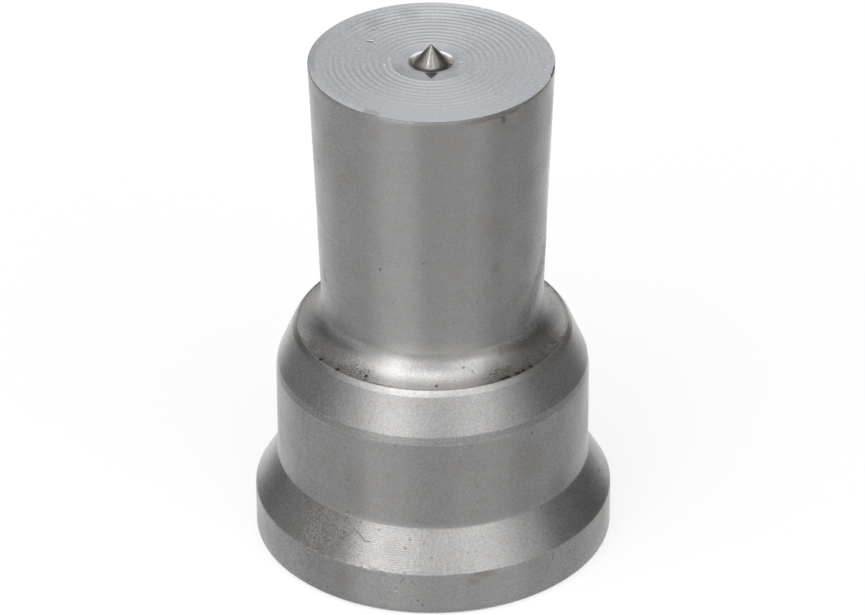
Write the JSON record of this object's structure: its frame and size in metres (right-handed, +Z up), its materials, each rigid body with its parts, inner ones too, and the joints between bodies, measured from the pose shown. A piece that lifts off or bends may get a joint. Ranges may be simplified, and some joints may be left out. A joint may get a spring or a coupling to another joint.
{
  "type": "piercing punch",
  "caption": "Round steel piercing punch: collared conical head, ground guide body, filleted shoulder, back-tapered point and centring nib.",
  "frame": {"origin": "centre of the head's flat end face, on which the punch stands", "axes": "+Z up along the turning axis, from the head towards the cutting face"},
  "size_m": [0.0401, 0.04, 0.0613],
  "materials": {
    "tool_steel": "turned and ground bare tool steel, satin, with fine circular tool marks and light grime"
  },
  "bodies": {
    "root": {"punch": "tool_steel"}
  },
  "joints": []
}
